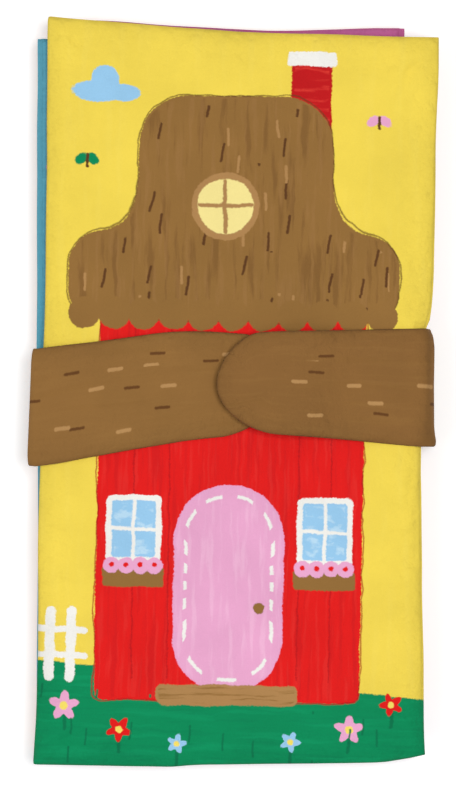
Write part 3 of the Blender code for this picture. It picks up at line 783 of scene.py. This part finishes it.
for x, y, colour in ((44, 84, PINK), (-46, 71, GREEN)):
    cover_art.paint(cover_art.oval(x - 1.8, y + 1, 2.2, 1.5, 0.6), colour)
    cover_art.paint(cover_art.oval(x + 1.8, y + 1, 2.2, 1.5, -0.6), colour)
    cover_art.paint(cover_art.stroke((x, y - 1.2), (x, y + 2.2), 0.45), DARK_BROWN)
cover_print = printed(cover_art)
front_cover = page_pad("front_cover_case", cover_outline, 4, (cover_print, teal_print),
                       (COVER_PUCKER, PAGE_PUCKER), COVER_CROWN, COVER_CREASES)
blow_up(front_cover, COVER_SLACK, COVER_AIR, COVER_MOVES)
finer = front_cover.modifiers.new("finer", "SUBSURF")
finer.levels = finer.render_levels = 1
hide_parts("front_cover_outer_cloth", "front_cover_inner_cloth")
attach(front_cover, "front_cover")
yellow_fold = fold_strip("fold_page_2_to_front_cover_cloth", page_2_outline, 3, cover_outline, 1,
                         (cover_print, teal_cloth),
                         "fold_page_2_to_front_cover", FOLD_COVER)

# The left arm, a padded strip of plush. It is sewn into the cover's left edge, where it has
# no wadding and bends back, and lies on the cover with its round tip under the other arm's.
ARM_THICK = 0.0026
ARM_RIM = 0.0042
BEND_HALF = 0.0006
ARM_ROOT_WIDTH = 0.0358
ARM_TIP_WIDTH = 0.030
TIP_REACH = (0.019, 0.013)
TIP_POWER = 1.8
SIDE_RIM = 0.0024
LEFT_ROOT_Y = -0.0049
LEFT_RISE = 0.0085
LEFT_SEAM_X = -0.0593
LEFT_ROOT_X = -0.0601
LEFT_APEX_X = -0.0619
LEFT_TIP_X = 0.01605
LEFT_BEND = 0.0066
LEFT_LONG = LEFT_BEND + LEFT_TIP_X - LEFT_ROOT_X
ARM_GAP = 0.0003
PUCKER_INSET = 0.004
PUCKER_SHARE = 0.09
PRINT_WIDE = 0.033
PRINT_LONG = 0.0824
# Where the arm's edges stand out: by how much, how far from the seam, and over what length
LEFT_WANDER = 0.0003
LEFT_HEAD_SWELLS = ((0.0014, 0.050, 0.016),)
LEFT_FOOT_SWELLS = ((0.0009, 0.026, 0.022), (0.0004, 0.014, 0.006))


def plush(name, ground, dashed_to):
    """Brown cloth, laid out along the strip, with printed dashes as far as its tip."""
    finish = Finish(name)
    point = finish.place((MILLIMETRES, MILLIMETRES, 0), "cloth")
    picture = Picture(finish, point, ink(*ground), 0.3)
    everywhere = picture.slope(0, 500, 0)
    picture.brush(everywhere, (140, 100, 50), (0.03, 0.4), 0.25)
    picture.brush(everywhere, (156, 115, 62), (0.05, 0.6), 0.18)
    inner = (picture.part(picture.point, 1) - 16.5).size() - 12
    inner = inner.at_least(picture.part(picture.point, 0) - dashed_to)
    picture.dashes((13, 8), (4.9, 0.85), (104, 66, 32), 0.5, inner)
    picture.dashes((15, 9), (4.8, 1.1), (184, 140, 88), 0.46, inner, seed=2.37)
    return weave(finish, point, picture.colour, 0.88)


def over_cover(x, y):
    """How high the cover's outer cloth lies."""
    across = (x - cover_outline.left[0][1]) / cover_outline.width
    along = (y - cover_outline.foot[0][1]) / cover_outline.length
    bulge = max(0, 1 - (2 * across - 1) ** 2) * max(0, 1 - (2 * along - 1) ** 2)
    return 4 * PAGE_PITCH + PAGE_THICK + COVER_CROWN * bulge


def smooth_step(share):
    share = min(1, max(0, share))
    return share * share * (3 - 2 * share)


def round_tip(across, along, wide, long):
    """Shares across and along, drawn in to a blunt point; the lower side slopes longer."""
    reach = TIP_REACH[0 if across < 0.5 else 1]
    side, end = 1 - min(across, 1 - across) * 2, 1 - (1 - along) * long / reach
    if end <= 0 or side <= 0:
        return across, along
    power = TIP_POWER
    pull = max(side, end) / (side ** power + end ** power) ** (1 / power)
    half = 0.5 * (1 - side * pull)
    return (half if across < 0.5 else 1 - half), 1 - (1 - end * pull) * reach / long


def arm_pucker(inset, run, seed):
    """The share by which small folds beside the seams lift the cloth."""
    fade = math.exp(-((inset - PUCKER_INSET) / PUCKER_INSET) ** 2)
    return PUCKER_SHARE * fade * noise.noise(Vector((run * 170, inset * 40, seed)))


def arm_half(inset, along, long, padded_from):
    """Half the arm's thickness: the bend is thin, the rest swells from its seams."""
    full = BEND_HALF + (ARM_THICK / 2 - BEND_HALF) * smooth_step(
        (along * long - padded_from) / ARM_RIM)
    return full * cushion_rise(inset, ARM_RIM) * (1 + arm_pucker(inset, along * long, long))


def left_arm_point(across, along, side):
    long = LEFT_LONG
    inset = min(min(across, 1 - across) * ARM_TIP_WIDTH, (1 - along) * long)
    half = arm_half(inset, along, long, LEFT_BEND)
    across, along = round_tip(across, along, ARM_TIP_WIDTH, long)
    run = along * long
    share = max(0, (run - LEFT_BEND) / (long - LEFT_BEND))
    wide = ARM_ROOT_WIDTH + (ARM_TIP_WIDTH - ARM_ROOT_WIDTH) * share
    y = LEFT_ROOT_Y + LEFT_RISE * (1.7 * share - 0.7 * share ** 2) + (across - 0.5) * wide
    lean = 2 * across - 1
    y += LEFT_WANDER * noise.noise(Vector((run * 60, 2 * across, 1))) * abs(lean) ** 7
    for high, middle, wide in LEFT_HEAD_SWELLS if lean > 0 else LEFT_FOOT_SWELLS:
        y += lean * high * math.exp(-((run - middle) / wide) ** 2)
    if run < LEFT_BEND:
        turn = math.pi * run / LEFT_BEND
        low, high = 4 * PAGE_PITCH + PAGE_THICK / 2, over_cover(LEFT_ROOT_X, y) + ARM_GAP
        high += ARM_THICK / 2
        reach = (LEFT_SEAM_X + LEFT_ROOT_X) / 2 - LEFT_APEX_X + 0.0008 * (0.4 - across)
        x = LEFT_SEAM_X + (LEFT_ROOT_X - LEFT_SEAM_X) * run / LEFT_BEND - reach * math.sin(turn)
        z = low + (high - low) * (1 - math.cos(turn)) / 2
        return (x - side * half * math.sin(turn), y, z - side * half * math.cos(turn)), inset
    x = LEFT_ROOT_X + run - LEFT_BEND
    return (x, y, over_cover(x, y) + ARM_GAP + ARM_THICK / 2 + side * half), inset


brown_plush = plush("brown_plush", (147, 106, 56), 66)
left_arm = padded_case("left_arm_case", (48, 150), left_arm_point, (brown_plush,),
                       lambda across, along: (along * PRINT_LONG, across * PRINT_WIDE))
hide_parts("left_arm_bend", "left_arm_outer_cloth", "left_arm_lining")
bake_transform(left_arm)

# The right arm, a longer strip of the same plush. It is sewn into the back cover's right
# edge, stands up beside the folds, turns the corner and climbs over the left arm's tip.
RIGHT_ROOT_Y = 0.0035
RIGHT_RISE = 0.0004
SIDE_X = 0.0612
SIDE_SPLIT = 0.0106
RIGHT_SEAM_X = 0.0573
RIGHT_SEAM_Z = 0.00165
LOWER_BEND_Z = 0.00465
UPPER_BEND_Z = 0.01636
RIGHT_ROOT_X = 0.0582
RIGHT_TIP_X = -0.0048
SIDE_SEAM = 0.006
SIDE_HEAD_LEAN = 0.0012
SIDE_FOOT_LEAN = 0.001
SIDE_SLANT = 0.0005
RIGHT_CORNER = 0.003
RAMP = (0.03805, 0.01805)
TIP_LIFT = 0.0051
TIP_DROP = 0.0009
ROOT_DROP = 0.0007
FOOT_PRINT_AT = 0.2
FOOT_PRINT_LONG = 0.0114
FRONT_PRINT_LONG = 0.0735


def right_front(run, across):
    """Height of the right arm's middle where it lies over the cover."""
    x = RIGHT_ROOT_X - run
    y = RIGHT_ROOT_Y + (across - 0.5) * ARM_ROOT_WIDTH
    lift = TIP_LIFT * smooth_step((RAMP[0] - x) / (RAMP[0] - RAMP[1]))
    return x, over_cover(x, y) + ARM_GAP + ARM_THICK / 2 + lift


def side_middle(inset, across):
    """The side's middle line in x: it leans in at the head and out at the foot."""
    seam = (1 - min(1, inset / SIDE_SEAM)) ** 2
    if across > 0.5:
        return SIDE_X - SIDE_HEAD_LEAN * seam
    return SIDE_X + SIDE_FOOT_LEAN * seam + SIDE_SLANT * (1 - 2 * across)


def right_foot_point(across, along, side):
    """The strip from the back cover's seam to half way up the side."""
    bend = math.pi / 2 * (SIDE_X - RIGHT_SEAM_X + LOWER_BEND_Z - RIGHT_SEAM_Z) / 2
    long = bend + SIDE_SPLIT - LOWER_BEND_Z
    run = along * long
    y = RIGHT_ROOT_Y + (across - 0.5) * ARM_ROOT_WIDTH
    inset = min(across, 1 - across) * ARM_ROOT_WIDTH
    half = arm_half(min(inset * ARM_RIM / SIDE_RIM, ARM_ROOT_WIDTH), along, long, bend)
    if run < bend:
        turn = math.pi / 2 * run / bend
        x = RIGHT_SEAM_X + (SIDE_X - RIGHT_SEAM_X) * math.sin(turn)
        z = RIGHT_SEAM_Z + (LOWER_BEND_Z - RIGHT_SEAM_Z) * (1 - math.cos(turn))
        return (x + side * half * math.sin(turn), y, z - side * half * math.cos(turn)), inset
    return (side_middle(inset, across) + side * half, y, LOWER_BEND_Z + run - bend), inset


def right_arm_point(across, along, side):
    """The strip from half way up the side to the tip."""
    stand = UPPER_BEND_Z - SIDE_SPLIT
    bend = math.pi / 2 * RIGHT_CORNER
    long = stand + bend + RIGHT_ROOT_X - RIGHT_TIP_X
    inset = min(min(across, 1 - across) * ARM_TIP_WIDTH, (1 - along) * long)
    pucker = arm_pucker(inset, along * long, 9)
    across, along = round_tip(across, along, ARM_TIP_WIDTH, long)
    run = along * long
    share = max(0, (run - stand - bend) / (RIGHT_ROOT_X - RIGHT_TIP_X))
    wide = ARM_ROOT_WIDTH + (ARM_TIP_WIDTH - ARM_ROOT_WIDTH) * share
    y = RIGHT_ROOT_Y + RIGHT_RISE * share + (across - 0.5) * wide
    y -= TIP_DROP * smooth_step((share - 0.7) / 0.3)
    y -= ROOT_DROP * max(0, 1 - 2 * across) * math.exp(-((run - stand - bend) / 0.02) ** 2)
    bent = math.exp(-((run - stand - bend / 2) / 0.0022) ** 2)
    rim = SIDE_RIM + (ARM_RIM - SIDE_RIM) * smooth_step((run - stand - bend) / 0.008)
    half = (ARM_THICK / 2 - (ARM_THICK / 2 - BEND_HALF) * 0.5 * bent) * cushion_rise(inset, rim)
    half *= 1 + pucker
    middle = side_middle(inset, across)
    # Painted shade: round the upper bend the seam distance given to the finish is cut short, so
    # the cloth is painted darker where it turns down.
    bend_shaded_inset = inset * (1 - 0.97 * math.exp(-((run - stand - 0.6 * bend) / 0.003) ** 2))
    if run < stand:
        return (middle + side * half, y, SIDE_SPLIT + run), inset
    if run < stand + bend:
        turn = math.pi / 2 * (run - stand) / bend
        top = right_front(0, across)[1]
        x = RIGHT_ROOT_X + (middle - RIGHT_ROOT_X) * math.cos(turn)
        z = UPPER_BEND_Z + (top - UPPER_BEND_Z) * math.sin(turn)
        return (x + side * half * math.cos(turn), y, z + side * half * math.sin(turn)), bend_shaded_inset
    x, z = right_front(run - stand - bend, across)
    slope = (right_front(run - stand - bend + 1e-4, across)[1] - z) / 1e-4
    tilt = math.atan(slope)
    return (x + side * half * math.sin(tilt), y, z + side * half * math.cos(tilt)), bend_shaded_inset


# The right arm's plush is the same cloth printed a little darker than the left arm's, as painted
# shade of how the light falls on it.
plush_painted_shade = plush("brown_plush_painted_shade", (141, 100, 53), 263)
right_foot = padded_case("right_arm_foot_case", (48, 30), right_foot_point, (plush_painted_shade,),
                         lambda across, along: (FOOT_PRINT_AT + along * FOOT_PRINT_LONG,
                                                across * ARM_ROOT_WIDTH))
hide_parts("right_arm_lower_bend", "right_arm_side_cloth", "right_arm_side_lining")
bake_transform(right_foot)
right_arm = padded_case("right_arm_case", (48, 150), right_arm_point, (plush_painted_shade,),
                        lambda across, along: (
                            FOOT_PRINT_AT + FOOT_PRINT_LONG + along * FRONT_PRINT_LONG,
                            across * PRINT_WIDE))
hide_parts("right_arm_upper_bend", "right_arm_outer_cloth", "right_arm_lining")
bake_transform(right_arm)

# What the cases hold: a sheet of polyester wadding in every page and arm, and a thin film
# in the pages that rustles when it is pressed. Two woven patches fasten the arms.
wadding = Finish("white_wadding")
wadding_point = wadding.place((MILLIMETRES, MILLIMETRES, MILLIMETRES))
weave(wadding, wadding_point, ink(238, 238, 234), 0.95, seams=False)
film = Finish("crinkle_film")
film_point = film.place((MILLIMETRES, MILLIMETRES, MILLIMETRES))
film_crease = film.cloud(film_point, 0.5, 4.0)
film.feed(film.shader.inputs["Roughness"], film_crease * 0.3 + 0.15)
film.feed(film.shader.inputs["Normal"],
          film.node("ShaderNodeBump", None,
                    {"Strength": 0.6, "Distance": 0.0003, "Height": film_crease}))
film.shader.inputs["Base Color"].default_value = ink(214, 216, 220)
PATCH_MIDDLE = (5.63, 3.75)
patch = Finish("fastening_patch")
patch_point = patch.place((MILLIMETRES, MILLIMETRES, 0))
patch_art = Picture(patch, patch_point, ink(176, 150, 112), 0.1)
patch_art.brush(patch_art.slope(0, 500, 0), (150, 124, 88), (1.1, 1.3), 0.8)
stitch = patch_art.block(*PATCH_MIDDLE, 4.9, 7.9, 1.4).size() - 0.22
run_x = patch_art.part(patch_point, 0).math("SINE", patch_art.part(patch_point, 0) * 3.2)
run_y = patch_art.part(patch_point, 1).math("SINE", patch_art.part(patch_point, 1) * 3.2)
stitch = stitch.at_least(0.3 - run_x.at_least(run_y))
patch_art.paint(stitch, (224, 208, 176))
weave(patch, patch_point, patch_art.colour, 0.95, seams=False)
for node_name, node_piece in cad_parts.items():
    if node_name.endswith("wadding"):
        node_finish = wadding.material
    elif node_name.endswith("film"):
        node_finish = film.material
    elif node_name.endswith("patch"):
        node_finish = patch.material
    else:
        continue
    node_piece.data.materials.clear()
    node_piece.data.materials.append(node_finish)

# The studio: a white floor in an even white room, a soft lamp high over the book's right half,
# a weaker and wider one on the left, and the camera straight above.
FLOOR_GLOW = 0.29
FLOOR_DROP = 0.0002
ROOM_LIGHT = 0.34
floor_finish = Finish("white_floor")
floor_finish.shader.inputs["Base Color"].default_value = ink(250, 250, 250)
floor_finish.shader.inputs["Roughness"].default_value = 0.9
floor_finish.shader.inputs["Emission Strength"].default_value = 1.0
ray = floor_finish.node("ShaderNodeLightPath").socket.node
seen = sum(Value(floor_finish, ray.outputs[kind])
           for kind in ("Is Camera Ray", "Is Glossy Ray", "Is Transmission Ray"))
floor_finish.feed(floor_finish.shader.inputs["Emission Color"], seen * FLOOR_GLOW)
floor_form = bmesh.new()
bmesh.ops.create_grid(floor_form, x_segments=1, y_segments=1, size=3.0)
floor_mesh = bpy.data.meshes.new("floor")
floor_form.to_mesh(floor_mesh)
floor_form.free()
floor_mesh.materials.append(floor_finish.material)
floor = bpy.data.objects.new("floor", floor_mesh)
bpy.context.scene.collection.objects.link(floor)
floor_mesh.transform(Matrix.Translation((0, 0, -FLOOR_DROP)))

world = bpy.data.worlds.new("studio")
world.use_nodes = True
room = world.node_tree.nodes
room["Background"].inputs["Color"].default_value = (1, 1, 1, 1)
room["Background"].inputs["Strength"].default_value = ROOM_LIGHT
backdrop_light = room.new("ShaderNodeBackground")
backdrop_light.inputs["Color"].default_value = (1, 1, 1, 1)
world_path = room.new("ShaderNodeLightPath")
world_mix = room.new("ShaderNodeMixShader")
for source, socket in ((world_path.outputs["Is Camera Ray"], world_mix.inputs[0]),
                       (room["Background"].outputs[0], world_mix.inputs[1]),
                       (backdrop_light.outputs[0], world_mix.inputs[2]),
                       (world_mix.outputs[0], room["World Output"].inputs[0])):
    world.node_tree.links.new(source, socket)
bpy.context.scene.world = world


def soft_lamp(name, place, size, power, target=(0, 0, 0)):
    lamp = bpy.data.lights.new(name, "AREA")
    lamp.shape = "DISK"
    lamp.size = size
    lamp.energy = power
    piece = bpy.data.objects.new(name, lamp)
    piece.location = place
    piece.rotation_euler = (Vector(target) - Vector(place)).to_track_quat("-Z", "Y").to_euler()
    bpy.context.scene.collection.objects.link(piece)


soft_lamp("main_lamp", (0.5, 0.1, 2.55), 1.0, 31.5)
soft_lamp("fill_lamp", (-1.4, -0.3, 2.0), 1.8, 15)

CAMERA_HEIGHT = 1.9
COVER_TOP = 0.018
VIEW_HIGH = 0.247
VIEW_MIDDLE = (-0.00099, -0.00178)
VIEW_TURN = 1.06
SENSOR_HIGH = 24
camera = bpy.data.cameras.new("camera")
camera.sensor_fit = "VERTICAL"
camera.sensor_height = SENSOR_HIGH
camera.lens = SENSOR_HIGH * (CAMERA_HEIGHT - COVER_TOP) / VIEW_HIGH
camera_piece = bpy.data.objects.new("camera", camera)
camera_piece.location = (*VIEW_MIDDLE, CAMERA_HEIGHT)
camera_piece.rotation_euler = (0, 0, math.radians(VIEW_TURN))
bpy.context.scene.collection.objects.link(camera_piece)
bpy.context.scene.camera = camera_piece
bpy.context.scene.view_settings.view_transform = "Standard"
